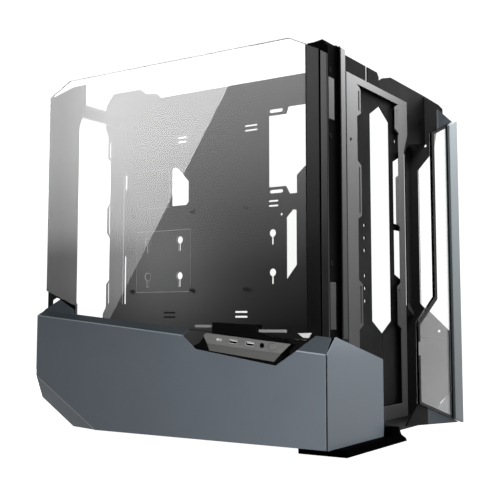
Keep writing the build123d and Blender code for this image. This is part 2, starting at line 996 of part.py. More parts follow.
# Front wall in two sheets around the tall six-sided opening
hex_left = wall_mid - hex_w / 2
hex_right = wall_mid + hex_w / 2
fan_left = wall_mid - fan_pitch / 2
fan_right = wall_mid + fan_pitch / 2
hex_h = hex_top - hex_low
with BuildPart() as front_wall_left:
    seam_left = wall_mid - wall_seam / 2
    front_sheet(
        [
            (post_in, floor_top),
            (seam_left, floor_top),
            (seam_left, hex_low),
            (hex_left, hex_low + hex_slope),
            (hex_left, hex_top - hex_slope),
            (seam_left, hex_top),
            (seam_left, wall_top - wall_slit),
            (seam_left - wall_slit, wall_top),
            (post_in, wall_top),
        ],
        wall_back,
        steel,
    )
    with BuildSketch(Plane.YZ.offset(wall_back)):
        with Locations((hex_left - 1.5 * wall_slit, wall_top)):
            Rectangle(wall_slit, 2 * frame_down)
        with Locations((fan_left, hex_low + 0.403 * hex_h), (fan_left, hex_low + 0.191 * hex_h)):
            with GridLocations(0, fan_step, 1, 3):
                Circle(fan_bolt_r)
    extrude(amount=steel, mode=Mode.SUBTRACT)
save(front_wall_left, "front_wall_left")

bracket_low = wall_top - bracket_h
wall_right = frame_mid + frame_w / 2 - steel
with BuildPart() as front_wall_right:
    seam_right = wall_mid + wall_seam / 2
    front_sheet(
        [
            (seam_right, floor_top),
            (wall_right, floor_top),
            (wall_right, bracket_low - 35),
            (wall_right + 25, bracket_low - 10),
            (side_y - 20, bracket_low),
            (side_y, bracket_low),
            (side_y, right_top),
            (seam_right + 11 * right_rise, right_top),
            (seam_right + 3.5 * right_rise, wall_top - right_rise),
            (seam_right + 1.5 * right_rise, wall_top - 2 * right_rise),
            (seam_right, wall_top - 3 * right_rise),
            (seam_right, hex_top),
            (hex_right, hex_top - hex_slope),
            (hex_right, hex_low + hex_slope),
            (seam_right, hex_low),
        ],
        wall_back,
        steel,
    )
    with BuildSketch(Plane.YZ.offset(wall_back)):
        with Locations((fan_right, hex_low + 0.87 * hex_h)):
            Circle(fan_bolt_r)
        for inner_part, outer_part in ((0.490, 0.803), (0.462, 0.240)):
            slot_mid = hex_low + inner_part * hex_h
            slot_end = hex_low + outer_part * hex_h
            Polygon(
                (fan_right - fan_slot_in, slot_mid),
                (fan_right + fan_slot_out, slot_mid),
                (fan_right + fan_slot_out, slot_end),
                (fan_right - fan_slot_in, slot_end - 0.1 * (slot_end - slot_mid)),
                align=None,
            )
    extrude(amount=steel, mode=Mode.SUBTRACT)
save(front_wall_right, "front_wall_right")

with BuildPart() as bracket_screws:
    bracket_spots = [
        (side_y - screw_in, wall_top - screw_down),
        (wall_right + screw_in, wall_top - screw_down),
    ]
    screw_heads(bracket_spots, Plane.YZ.offset(wall_x))
save(bracket_screws, "bracket_screws")

# Radiator frame standing off the wall on its turned edges
frame_left = frame_mid - frame_w / 2
frame_right = frame_mid + frame_w / 2
left_in = frame_left + frame_side
right_in = frame_right - frame_side
lower_right = frame_right - frame_taper
with BuildPart() as radiator_frame:
    front_sheet(
        [
            (frame_left, floor_top),
            (lower_right, floor_top),
            (lower_right, bracket_low - 30),
            (frame_right, bracket_low),
            (frame_right, frame_top),
            (frame_left, frame_top),
        ],
        frame_x - steel,
        steel,
    )
    front_sheet(
        [
            (left_in, floor_top + frame_side),
            (right_in, floor_top + frame_side),
            (right_in, frame_top - frame_head),
            (left_in, frame_top - frame_head),
        ],
        frame_x - steel,
        steel,
        Mode.SUBTRACT,
    )
    inner_h = frame_top - frame_head - floor_top
    for low_part, high_part in ((0.905, 1.0), (0.607, 0.776), (0.293, 0.434)):
        tab_low = floor_top + low_part * inner_h
        tab_high = floor_top + high_part * inner_h
        for tab_edge, tab_dir in ((left_in, 1), (right_in, -1)):
            front_sheet(
                [
                    (tab_edge, tab_low),
                    (tab_edge + tab_dir * tab_out, tab_low + tab_out / 2),
                    (tab_edge + tab_dir * tab_out, tab_high - tab_out / 2),
                    (tab_edge, tab_high),
                ],
                frame_x - steel,
                steel,
            )
            with BuildSketch(Plane.YZ.offset(frame_x - steel)):
                with Locations((tab_edge + tab_dir * tab_out / 2, (tab_low + tab_high) / 2)):
                    Rectangle(frame_slit_w, tab_high - tab_low - 1.5 * tab_out)
            extrude(amount=steel, mode=Mode.SUBTRACT)
    with BuildSketch(Plane.YZ.offset(frame_x - steel)):
        hole_y = frame_left + tab_out
        with Locations((hole_y, floor_top + 0.83 * inner_h), (hole_y, floor_top + 0.21 * inner_h)):
            Circle(frame_hole_r)
    extrude(amount=steel, mode=Mode.SUBTRACT)
    block(wall_x, frame_x - steel, frame_left, frame_left + steel, floor_top, frame_top)
    block(wall_x, frame_x - steel, lower_right - steel, lower_right, floor_top, bracket_low - 30)
    block(wall_x, frame_x - steel, frame_right - steel, frame_right, bracket_low, frame_top)
    block(wall_x, frame_x - steel, frame_left + steel, frame_right - steel, frame_top - steel, frame_top)
save(radiator_frame, "radiator_frame")

# Right side frame: rear post, low rail, front post and two gussets in one sheet
side_rear = rear_x + side_back_gap
side_post = fold_x - side_post_w
with BuildPart() as right_side_frame:
    side_sheet(
        [
            (side_rear, floor_z),
            (side_rear, post_top),
            (side_rear + post_w, post_top),
            (side_rear + post_w, rail_top + 18),
            (side_rear + post_w + 18, rail_top),
            (side_post - rail_run, rail_top),
            (side_post, side_rail_h + 18),
            (side_post, right_top),
            (wall_x, right_top),
            (wing_x - 14, right_top - 18),
            (wing_x - 7, right_top - 26),
            (wing_x - 7, wall_top - 51),
            (wing_x - 21, wall_top - 60),
            (wing_x - 27, wall_top - 95),
            (fold_x, wall_top - 123),
            (fold_x, side_rail_h + 21),
            (wing_x - 6, side_rail_h - 24),
            (wing_x, side_rail_h - 40),
            (wing_x, 64),
            (wing_x - 24, 40),
            (wing_x - 24, floor_z),
        ],
        side_y,
        steel,
    )
    with BuildSketch(Plane.XZ.offset(-side_y)):
        with Locations((wing_x - 23, side_rail_h - 25), (wall_x, bracket_low)):
            Circle(side_hole_r)
    extrude(amount=-steel, mode=Mode.SUBTRACT)
    with BuildSketch(Plane.XZ.offset(-side_y)):
        with Locations((wall_x - 13, bracket_low)):
            Circle(side_hole_r)
    extrude(amount=-steel / 2, mode=Mode.SUBTRACT)
    block(flange_x - steel, flange_x, side_y - side_fold, side_y, side_rail_h, bracket_low)
save(right_side_frame, "right_side_frame")

with BuildPart() as right_glass:
    side_sheet(
        [
            (glass_back, glass_top - corner_drop),
            (glass_back + corner_run, glass_top),
            (glass_front - nose_run, glass_top),
            (glass_front, glass_top - nose_drop),
            (glass_front, side_rail_h - 60),
            (glass_back, side_rail_h - 60),
        ],
        side_out,
        glass_t,
    )
save(right_glass, "right_glass")

# Front wing: bent frame, glass pane with printed border, and outer bar
bar_in = right_y - bar_w
pane_high = 471.0
pane_corner = 52.0
pane_bend = 172.0
pane_neck = 212.0
pane_rise = (wing_top - pane_high) / (right_y - pane_upper_y)
pane_fall = (pane_corner - wing_low) / (right_y - pane_lower_y)


def pane_top_z(y):
    return pane_high + pane_rise * (y - pane_upper_y)


def pane_low_z(y):
    return pane_corner - pane_fall * (y - pane_lower_y)


arm_y = bar_in - 28
fill_y = bar_in - 64
tip_y = pane_lower_y - 41
with BuildPart() as wing_frame:
    front_sheet(
        [
            (arm_y, wing_top + 8),
            (right_y, wing_top),
            (right_y, wing_low),
            (tip_y, wing_low + 14.5),
            (pane_lower_y + 8, pane_low_z(pane_lower_y + 8) + border),
            (fill_y, pane_low_z(fill_y) + border),
            (bar_in + 3, pane_low_z(fill_y) + 28),
            (bar_in + 3, pane_top_z(bar_in + 3) - border),
            (arm_y, pane_top_z(arm_y) - border),
        ],
        wing_x,
        wing_t,
    )
save(wing_frame, "wing_frame")

pane_outline = [
    (pane_upper_y, pane_high),
    (right_y, wing_top),
    (right_y, wing_low),
    (pane_lower_y, pane_corner),
    (pane_lower_y, pane_bend),
    (pane_upper_y, pane_neck),
]
with BuildPart() as wing_pane:
    front_sheet(pane_outline, pane_x, glass_t)
save(wing_pane, "wing_pane")

with BuildPart() as wing_pane_border:
    front_sheet(
        [
            *pane_outline[:1],
            (bar_in, pane_top_z(bar_in)),
            (bar_in, pane_low_z(bar_in)),
            *pane_outline[3:],
        ],
        bar_x,
        border_t,
    )
    front_sheet(
        [
            (pane_upper_y + border_upper, pane_top_z(pane_upper_y + border_upper) - border),
            (bar_in - border, pane_top_z(bar_in - border) - border),
            (bar_in - border, pane_low_z(bar_in - border) + border),
            (pane_lower_y + border_lower, pane_low_z(pane_lower_y + border_lower) + border),
            (pane_lower_y + border_lower, pane_bend - border),
            (pane_upper_y + border_upper, pane_neck - border),
        ],
        bar_x,
        border_t,
        Mode.SUBTRACT,
    )
    block(
        bar_x,
        bar_x + border_t,
        pane_lower_y,
        pane_lower_y + border_lower,
        border_gap_z,
        border_gap_z + border_gap,
        Mode.SUBTRACT,
    )
save(wing_pane_border, "wing_pane_border")

with BuildPart() as wing_bar:
    front_sheet(
        [
            (bar_in, pane_top_z(bar_in)),
            (right_y, wing_top),
            (right_y, wing_low),
            (bar_in, pane_low_z(bar_in)),
        ],
        bar_x,
        bar_t,
    )
save(wing_bar, "wing_bar")

with BuildPart() as wing_spacer:
    block(wing_x - 7, wing_x, side_y - 4, side_out + 4, wall_top - 50, wall_top - 40)
save(wing_spacer, "wing_spacer")
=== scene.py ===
import math
import bmesh
import bpy
from mathutils import Matrix, Vector


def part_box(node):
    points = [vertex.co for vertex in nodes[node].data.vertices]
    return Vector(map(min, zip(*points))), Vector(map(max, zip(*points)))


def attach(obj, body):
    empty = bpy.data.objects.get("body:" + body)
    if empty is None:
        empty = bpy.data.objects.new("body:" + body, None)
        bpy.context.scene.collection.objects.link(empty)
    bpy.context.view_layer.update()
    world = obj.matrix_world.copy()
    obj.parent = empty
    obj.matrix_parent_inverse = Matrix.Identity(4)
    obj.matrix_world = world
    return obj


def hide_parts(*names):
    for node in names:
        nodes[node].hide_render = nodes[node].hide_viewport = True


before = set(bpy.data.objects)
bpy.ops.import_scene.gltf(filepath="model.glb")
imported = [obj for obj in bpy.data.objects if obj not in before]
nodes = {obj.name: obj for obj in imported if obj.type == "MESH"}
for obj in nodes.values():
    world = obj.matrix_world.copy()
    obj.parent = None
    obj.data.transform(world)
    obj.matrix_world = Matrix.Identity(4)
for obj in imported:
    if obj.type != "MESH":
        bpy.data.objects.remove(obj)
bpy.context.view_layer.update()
scene = bpy.context.scene
scene.view_settings.view_transform = "Standard"
mm = 0.001
print("frame loaded:", len(nodes), "solids")


def linearColour(code):
    parts = [int(code[i:i + 2], 16) / 255 for i in (1, 3, 5)]
    return tuple(c / 12.92 if c <= 0.04045 else ((c + 0.055) / 1.055) ** 2.4 for c in parts) + (1.0,)


# adds one node, sets its fields, and fills its inputs with values or links
def addNode(tree, kind, fields=None, inputs=None):
    node = tree.nodes.new(kind)
    for name, value in (fields or {}).items():
        setattr(node, name, value)
    for name, value in (inputs or {}).items():
        if isinstance(value, bpy.types.NodeSocket):
            tree.links.new(value, node.inputs[name])
        else:
            node.inputs[name].default_value = value
    return node


def startMaterial(name):
    material = bpy.data.materials.new(name)
    material.use_nodes = True
    tree = material.node_tree
    place = addNode(tree, "ShaderNodeTexCoord").outputs["Object"]
    return material, tree, tree.nodes["Principled BSDF"], place


# Sheet paint and moulded surfaces share one recipe: a cloudy tint, uneven gloss and a fine skin
def coatedSurface(look):
    material, tree, shader, place = startMaterial(look["name"])
    cloud = addNode(tree, "ShaderNodeTexNoise", None,
                    {"Vector": place, "Scale": 1000 / look["cloudMm"], "Detail": 3.0, "Roughness": 0.55})
    tint = addNode(tree, "ShaderNodeMix", {"data_type": "RGBA"}, {
        "Factor": cloud.outputs["Fac"], "A": linearColour(look["dark"]), "B": linearColour(look["light"])})
    gloss = addNode(tree, "ShaderNodeMapRange", None, {
        "Value": cloud.outputs["Fac"], "From Min": 0.3, "From Max": 0.7,
        "To Min": look["roughness"] - look["uneven"], "To Max": look["roughness"] + look["uneven"]})
    skin = addNode(tree, "ShaderNodeTexNoise", None,
                   {"Vector": place, "Scale": 1000 / look["skinMm"], "Detail": 2.0, "Roughness": 0.6})
    bump = addNode(tree, "ShaderNodeBump", None, {
        "Strength": look["skin"], "Distance": look["skinDeepMm"] * mm, "Height": skin.outputs["Fac"]})
    tree.links.new(tint.outputs["Result"], shader.inputs["Base Color"])
    tree.links.new(gloss.outputs["Result"], shader.inputs["Roughness"])
    tree.links.new(bump.outputs["Normal"], shader.inputs["Normal"])
    shader.inputs["IOR"].default_value = look["ior"]
    return material


# Polyester powder coat on folded steel: satin slate blue with a faint orange peel, drawn 4 mm wide to show
slateCoat = coatedSurface({
    "name": "slatePowderCoat", "dark": "#666e76", "light": "#727a82", "cloudMm": 90, "roughness": 0.46,
    "uneven": 0.05, "skinMm": 4, "skin": 0.35, "skinDeepMm": 0.05, "ior": 1.34})

# Painted highlight along the folds and cut rims: a pale copy of the coat stands in for the light that the
# fold catches, so the eye reads the fold
slateFoldHighlight = coatedSurface({
    "name": "paintedHighlightSlateCoat", "dark": "#9aa3aa", "light": "#a8b1b8", "cloudMm": 40, "roughness": 0.40,
    "uneven": 0.05, "skinMm": 4, "skin": 0.1, "skinDeepMm": 0.03, "ior": 1.34})

# Painted shade on the lip under the glass and its rear tab: the same coat, dull and darker
slateLipShade = coatedSurface({
    "name": "paintedShadeSlateCoat", "dark": "#4b5359", "light": "#555d63", "cloudMm": 90, "roughness": 0.62,
    "uneven": 0.05, "skinMm": 4, "skin": 0.2, "skinDeepMm": 0.05, "ior": 1.08})

# Painted light on the wing's inner frame, which lies in the shade of the bar: the same coat, dull and made a
# touch paler
wingPaintedLightCoat = coatedSurface({
    "name": "paintedLightSlateCoat", "dark": "#747c83", "light": "#7e868d", "cloudMm": 90, "roughness": 0.62,
    "uneven": 0.05, "skinMm": 4, "skin": 0.2, "skinDeepMm": 0.05, "ior": 1.08})

# Painted sheen on the wing: the same coat made paler and a little glossier
paintedSheenCoat = coatedSurface({
    "name": "paintedSheenPowderCoat", "dark": "#8b9498", "light": "#979fa3", "cloudMm": 80, "roughness": 0.40,
    "uneven": 0.05, "skinMm": 4, "skin": 0.25, "skinDeepMm": 0.04, "ior": 1.25})

# Fine-texture black powder coat: soft sparkle-free black that greys where light grazes it
blackCoat = coatedSurface({
    "name": "blackPowderCoat", "dark": "#101011", "light": "#151516", "cloudMm": 60, "roughness": 0.52,
    "uneven": 0.06, "skinMm": 3, "skin": 0.5, "skinDeepMm": 0.06, "ior": 1.21})

# Painted shade: the same black made darker and matt where sheets lie inside others, as the shade of the
# recess
recessShadeCoat = coatedSurface({
    "name": "paintedShadeBlackCoat", "dark": "#0b0b0c", "light": "#101011", "cloudMm": 60, "roughness": 0.62,
    "uneven": 0.06, "skinMm": 3, "skin": 0.4, "skinDeepMm": 0.06, "ior": 1.12})

# Painted light on the right frame: the same black made greyer, with a little more sheen
frameLitCoat = coatedSurface({
    "name": "paintedLightCharcoalCoat", "dark": "#2a2a2b", "light": "#333334", "cloudMm": 60, "roughness": 0.50,
    "uneven": 0.06, "skinMm": 3, "skin": 0.3, "skinDeepMm": 0.06, "ior": 1.30})

# Dark grey satin coat of the rear post: smoother than the black sheets
postCoat = coatedSurface({
    "name": "greySatinCoat", "dark": "#1b1b1c", "light": "#202021", "cloudMm": 110, "roughness": 0.45,
    "uneven": 0.05, "skinMm": 5, "skin": 0.06, "skinDeepMm": 0.03, "ior": 1.17})

# Graphite coat of the tray sheet: matt, so it shows its grey and hardly mirrors
trayCoat = coatedSurface({
    "name": "graphiteMattCoat", "dark": "#454546", "light": "#4c4c4d", "cloudMm": 110, "roughness": 0.55,
    "uneven": 0.05, "skinMm": 5, "skin": 0.06, "skinDeepMm": 0.03, "ior": 1.05})

# The pressed covers on the tray: the coat a touch greyer, with a painted highlight as a lighter line round
# their rims
coverCoat = coatedSurface({
    "name": "graphiteCoverCoat", "dark": "#4a4a4b", "light": "#515152", "cloudMm": 110, "roughness": 0.55,
    "uneven": 0.05, "skinMm": 5, "skin": 0.06, "skinDeepMm": 0.03, "ior": 1.05})
coverRimHighlight = coatedSurface({
    "name": "paintedHighlightGreyCoat", "dark": "#b6b6b7", "light": "#c4c4c5", "cloudMm": 40, "roughness": 0.40,
    "uneven": 0.05, "skinMm": 4, "skin": 0.1, "skinDeepMm": 0.03, "ior": 1.2})

# Black gloss lacquer on the post bands: mirrors the room in a soft streak
bandCoat = coatedSurface({
    "name": "blackGlossLacquer", "dark": "#060607", "light": "#0a0a0b", "cloudMm": 70, "roughness": 0.24,
    "uneven": 0.03, "skinMm": 8, "skin": 0.15, "skinDeepMm": 0.03, "ior": 1.33})

# The outer band's lacquer is thinner and mirrors less
outerBandCoat = coatedSurface({
    "name": "thinBlackLacquer", "dark": "#050506", "light": "#080809", "cloudMm": 70, "roughness": 0.24,
    "uneven": 0.03, "skinMm": 8, "skin": 0.15, "skinDeepMm": 0.03, "ior": 1.22})

# Moulded ABS with a spark-eroded grain, drawn 3 mm wide to show
blackAbs = coatedSurface({
    "name": "grainedBlackAbs", "dark": "#060607", "light": "#0b0b0c", "cloudMm": 40, "roughness": 0.52,
    "uneven": 0.08, "skinMm": 3, "skin": 0.4, "skinDeepMm": 0.08, "ior": 1.10})

# The front foot's ABS is coarser and drinks the light
footAbs = coatedSurface({
    "name": "coarseBlackAbs", "dark": "#050506", "light": "#09090a", "cloudMm": 40, "roughness": 0.75,
    "uneven": 0.08, "skinMm": 3, "skin": 0.4, "skinDeepMm": 0.08, "ior": 1.03})

# Rubber pads: dull black with a dusty bloom
padRubber = coatedSurface({
    "name": "dullRubber", "dark": "#131313", "light": "#1e1e1d", "cloudMm": 12, "roughness": 0.85,
    "uneven": 0.06, "skinMm": 2, "skin": 0.7, "skinDeepMm": 0.1, "ior": 1.52})

# Ceramic print fired on the glass: flat black, a touch glossy
framePrint = coatedSurface({
    "name": "ceramicPrint", "dark": "#08080a", "light": "#0c0c0e", "cloudMm": 30, "roughness": 0.34,
    "uneven": 0.04, "skinMm": 2, "skin": 0.1, "skinDeepMm": 0.02, "ior": 1.15})

# White nylon of the glass clip
clipNylon = coatedSurface({
    "name": "whiteNylon", "dark": "#dcdcda", "light": "#e8e8e6", "cloudMm": 10, "roughness": 0.42,
    "uneven": 0.05, "skinMm": 2, "skin": 0.2, "skinDeepMm": 0.04, "ior": 1.53})


grainDeep = 0.05 * mm


# Metals: a fine grain, stretched along one axis where it is brushed, with the gloss following it
def grainedMetal(look):
    material, tree, shader, place = startMaterial(look["name"])
    stretch = addNode(tree, "ShaderNodeMapping", None, {
        "Vector": place, "Scale": tuple(1000 / s for s in look["grainMm"])})
    grain = addNode(tree, "ShaderNodeTexNoise", None, {
        "Vector": stretch.outputs["Vector"], "Scale": 1.0, "Detail": 3.0, "Roughness": 0.6})
    tint = addNode(tree, "ShaderNodeMix", {"data_type": "RGBA"}, {
        "Factor": grain.outputs["Fac"], "A": linearColour(look["dark"]), "B": linearColour(look["light"])})
    gloss = addNode(tree, "ShaderNodeMapRange", None, {
        "Value": grain.outputs["Fac"], "From Min": 0.3, "From Max": 0.7,
        "To Min": look["roughness"] - look["uneven"], "To Max": look["roughness"] + look["uneven"]})
    bump = addNode(tree, "ShaderNodeBump", None, {
        "Strength": look["bump"], "Distance": grainDeep, "Height": grain.outputs["Fac"]})
    tree.links.new(tint.outputs["Result"], shader.inputs["Base Color"])
    tree.links.new(gloss.outputs["Result"], shader.inputs["Roughness"])
    tree.links.new(bump.outputs["Normal"], shader.inputs["Normal"])
    shader.inputs["Metallic"].default_value = look["metallic"]
    shader.inputs["IOR"].default_value = look.get("ior", 1.5)
    return material


# Bead-blasted aluminium under clear lacquer: even mid grey, more paint-like than bare metal
frameAluminium = grainedMetal({
    "name": "lacqueredAluminium", "dark": "#969697", "light": "#a2a2a3", "grainMm": (3, 3, 3),
    "roughness": 0.52, "uneven": 0.05, "bump": 0.3, "metallic": 0.0, "ior": 1.14})

# Painted shade: the latch plates are the same metal, made darker
plateShadeAluminium = grainedMetal({
    "name": "paintedShadeAluminiumPlate", "dark": "#79797a", "light": "#858586", "grainMm": (3, 3, 3),
    "roughness": 0.52, "uneven": 0.05, "bump": 0.3, "metallic": 0.0, "ior": 1.14})

# Brushed anodised aluminium of the socket strip: long streaks along X, 1.5 mm apart so that they show
brushedAluminium = grainedMetal({
    "name": "brushedAluminium", "dark": "#6c6c6b", "light": "#8a8a89", "grainMm": (60, 1.5, 1.5),
    "roughness": 0.40, "uneven": 0.07, "bump": 0.4, "metallic": 0.25})

# The strip under it is the same sheet turned away from the light
shadedAluminium = grainedMetal({
    "name": "brushedAluminiumFoot", "dark": "#595958", "light": "#6b6b6a", "grainMm": (60, 1.5, 1.5),
    "roughness": 0.42, "uneven": 0.07, "bump": 0.4, "metallic": 0.2})

# Nickel-plated socket shells: small rims painted near white as a painted highlight, lit rather than mirroring
nickelHighlight = grainedMetal({
    "name": "paintedHighlightNickel", "dark": "#e9e9e8", "light": "#f2f2f1", "grainMm": (3, 3, 3),
    "roughness": 0.34, "uneven": 0.05, "bump": 0.1, "metallic": 0.0})

# Zinc-plated steel of the tube, passivated to a dull grey
zincSteel = grainedMetal({
    "name": "zincPlatedSteel", "dark": "#3a3c3e", "light": "#46484a", "grainMm": (4, 4, 4), "roughness": 0.42,
    "uneven": 0.06, "bump": 0.2, "metallic": 0.3})

# Blackened steel of the board studs: the turning marks still catch a little light
blackenedSteel = grainedMetal({
    "name": "blackenedSteel", "dark": "#1b1b1c", "light": "#262627", "grainMm": (6, 0.8, 0.8),
    "roughness": 0.42, "uneven": 0.06, "bump": 0.2, "metallic": 0.3})


# Toughened soda-lime glass: clear, clean and nearly colourless
clearGlass = bpy.data.materials.new("toughenedGlass")
clearGlass.use_nodes = True
glassLook = {"Base Color": linearColour("#fbfcfb"), "Roughness": 0.0, "Transmission Weight": 1.0, "IOR": 1.45}
for name, value in glassLook.items():
    clearGlass.node_tree.nodes["Principled BSDF"].inputs[name].default_value = value

# Ground and polished glass edge: light runs out along it, so it reads as a fine dark green-grey line
glassRim = coatedSurface({
    "name": "polishedGlassEdge", "dark": "#232827", "light": "#303634", "cloudMm": 30, "roughness": 0.30,
    "uneven": 0.05, "skinMm": 3, "skin": 0.1, "skinDeepMm": 0.02, "ior": 1.2})
print("materials made:", len(bpy.data.materials))


def wear(obj, material):
    obj.data.materials.clear()
    obj.data.materials.append(material)


def addPiece(name, mesh, body, slotName, material, *replaced):
    obj = bpy.data.objects.new(name, mesh)
    scene.collection.objects.link(obj)
    if material:  # without one the mesh brings its own
        wear(obj, material)
    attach(obj, body)
    if replaced:
        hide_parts(*replaced)
    return obj


# Solids whose shape is right as it is keep their mesh and only get a finish
plainFinish = {
    "foot_pads": padRubber, "rear_foot": blackAbs, "right_feet": blackAbs, "floor_plate": blackCoat,
    "io_housing": blackAbs, "io_faceplate": brushedAluminium, "io_lower_strip": shadedAluminium,
    "audio_jack": blackAbs, "button_ring": brushedAluminium,
    "power_button": brushedAluminium, "latch_rods": frameAluminium, "glass_edge_trim": framePrint,
    "rear_bracket": blackCoat, "standoff_tube": zincSteel, "board_tray": trayCoat,
    "supply_bracket": postCoat, "front_wall_left": blackCoat, "front_wall_right": blackCoat,
    "right_side_frame": frameLitCoat, "wing_pane_border": framePrint,
}
for nodeName, material in plainFinish.items():
    wear(nodes[nodeName], material)

# Folded sheet and moulded solids get rounded rims: a merged copy, bevelled, stands for the solid
roundedRims = {
    "shroud_side": (slateCoat, "slate_paint", 0.95), "shroud_front": (slateCoat, "slate_paint", 0.95),
    "wing_frame": (wingPaintedLightCoat, "slate_paint", 0.8), "wing_bar": (paintedSheenCoat, "pale_blue_paint", 1.2),
    "front_foot": (footAbs, "black_plastic", 1.6), "latch_block": (blackAbs, "black_plastic", 0.8),
    "left_glass": (clearGlass, "glass", 0.8), "right_glass": (clearGlass, "glass", 0.8),
    "wing_pane": (clearGlass, "glass", 0.6), "glass_clip": (clipNylon, "white_plastic", 0.8),
    "rear_post": (postCoat, "grey_steel", 0.5), "front_post": (recessShadeCoat, "black_steel", 0.5),
    "post_cap": (blackAbs, "black_plastic", 0.6), "post_band_outer": (outerBandCoat, "band_steel", 0.8),
    "post_band_inner": (bandCoat, "band_steel", 0.8), "latch_plates": (plateShadeAluminium, "aluminium", 0.6),
    "corner_strip": (frameAluminium, "aluminium", 0.5), "radiator_frame": (frameAluminium, "aluminium", 0.5),
    "wing_spacer": (blackCoat, "black_steel", 0.8), "usb_a_ports": (nickelHighlight, "bright_steel", 0.1),
    "usb_c_port": (nickelHighlight, "bright_steel", 0.1), "tray_cover": (coverCoat, "grey_steel", 0.45),
}
# a second finish on the rounded rims (painted highlight on the shroud and the tray covers, the polished edge
# on the glass), and a third on the faces that the function below picks out (painted shade, and the edge faces
# of the left glass)
rimFinishAndHighlight = {"shroud_side": slateFoldHighlight, "left_glass": glassRim, "tray_cover": coverRimHighlight}
faceFinishAndShade = {"shroud_side": slateLipShade, "left_glass": glassRim, "usb_a_ports": blackAbs,
              "wing_frame": recessShadeCoat, "tray_cover": recessShadeCoat}
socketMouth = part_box("io_faceplate")[1].y + 0.2 * mm  # faces behind this lie inside the sockets
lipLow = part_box("shroud_front")[1].z - 30 * mm  # the lip and its tab stand above this
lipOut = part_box("shroud_side")[0].y + 4 * mm  # and behind this
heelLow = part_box("floor_plate")[1].z
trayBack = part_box("board_tray")[1].y - 0.1 * mm
paneMiddle = (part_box("wing_pane")[0].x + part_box("wing_pane")[1].x) / 2
paneAir = 0.15 * mm
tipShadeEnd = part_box("wing_pane")[0].y + 42 * mm  # the wing's low tip gets painted shade, black up to here
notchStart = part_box("io_housing")[0].x - 20 * mm  # from here to notchEnd the sockets break the fold's line
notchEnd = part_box("glass_clip")[1].x + 6 * mm
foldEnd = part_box("shroud_side")[1].x - 10 * mm


# the fold and the heel show the painted highlight line, the rest of the shroud's rims keep the plain coat
def keepsFoldHighlight(face):
    onFold = face.center.x < notchStart or notchEnd < face.center.x < foldEnd
    return onFold and face.center.y < lipOut and face.center.z > heelLow


def takesFaceFinishOrShade(nodeName, face):
    if nodeName == "left_glass":
        return abs(face.normal.y) < 0.5
    if nodeName == "shroud_side":
        # the lip and its tab take the painted shade
        return face.center.y > lipOut and face.center.z > lipLow
    if nodeName == "wing_frame":
        return face.center.y < tipShadeEnd
    if nodeName == "tray_cover":  # the plate behind a pair of slots gets painted shade
        return face.center.y > trayBack
    # sockets: faces not turned to the front and faces inside a wide socket are painted black as painted shade
    return face.normal.y > -0.5 or face.center.y > socketMouth  # the inside of a wide socket


rimLook = {"merge": 0.002 * mm, "flat": math.radians(0.6), "fold": math.radians(24), "segments": 3}


def roundedCopy(nodeName, material, rimMm):
    work = bmesh.new()
    work.from_mesh(nodes[nodeName].data)
    bmesh.ops.remove_doubles(work, verts=work.verts, dist=rimLook["merge"])
    bmesh.ops.dissolve_limit(work, angle_limit=rimLook["flat"], verts=work.verts, edges=work.edges)
    if nodeName == "wing_frame":  # a cut line where the painted shade starts
        bmesh.ops.bisect_plane(work, geom=[*work.verts, *work.edges, *work.faces],
                               plane_co=(0.0, tipShadeEnd, 0.0), plane_no=(0.0, 1.0, 0.0))
        work.verts.index_update()
    if nodeName == "wing_pane":  # a hair of air behind the pane, so that the frame under it is seen
        for vert in work.verts:
            if vert.co.x < paneMiddle:
                vert.co.x += paneAir
    bare = bpy.data.meshes.new(nodeName + "Bare")
    bare.from_pydata([v.co for v in work.verts], [], [[v.index for v in f.verts] for f in work.faces])
    work.free()
    bare.shade_smooth()
    bare.materials.append(material)
    bare.materials.append(rimFinishAndHighlight.get(nodeName, material))
    if nodeName in faceFinishAndShade:
        bare.materials.append(faceFinishAndShade[nodeName])
        for face in bare.polygons:
            face.material_index = 2 if takesFaceFinishOrShade(nodeName, face) else 0
    obj = bpy.data.objects.new(nodeName + "Bare", bare)
    scene.collection.objects.link(obj)
    rim = obj.modifiers.new("rim", "BEVEL")
    rim.width = rimMm * mm
    rim.segments = rimLook["segments"]
    rim.limit_method = "ANGLE"
    rim.angle_limit = rimLook["fold"]
    rim.harden_normals = True
    rim.use_clamp_overlap = nodeName not in rimFinishAndHighlight  # a rim with a second finish or painted highlight keeps its full width
    rim.material = 1 if nodeName in rimFinishAndHighlight else -1
    bpy.context.view_layer.update()
    mesh = bpy.data.meshes.new_from_object(obj.evaluated_get(bpy.context.evaluated_depsgraph_get()))
    bpy.data.objects.remove(obj)
    if nodeName == "shroud_side":
        for face in mesh.polygons:
            if face.material_index == 1 and not keepsFoldHighlight(face):
                face.material_index = 2 if takesFaceFinishOrShade(nodeName, face) else 0
    return mesh


rounded = {}
for nodeName, (material, slotName, rimMm) in roundedRims.items():
    mesh = roundedCopy(nodeName, material, rimMm)
    rounded[nodeName] = addPiece(nodeName + "Rounded", mesh, "chassis", slotName, None, nodeName)
for nodeName in ("left_glass", "right_glass", "wing_pane"):
    rounded[nodeName].visible_shadow = False  # daylight passes the sheets
    rounded[nodeName].visible_diffuse = False
print("rounded pieces:", len(rounded))


# Repeated pieces: copies of one small shape on a list of points
def repeatTree(name, sizes):
    tree = bpy.data.node_groups.new(name, "GeometryNodeTree")
    tree.interface.new_socket("Geometry", in_out="INPUT", socket_type="NodeSocketGeometry")
    for size, value in sizes.items():
        socket = tree.interface.new_socket(size, in_out="INPUT", socket_type="NodeSocketFloat")
        socket.default_value = value
    tree.interface.new_socket("Finish", in_out="INPUT", socket_type="NodeSocketMaterial")
    tree.interface.new_socket("Geometry", in_out="OUTPUT", socket_type="NodeSocketGeometry")
    return tree, addNode(tree, "NodeGroupInput").outputs


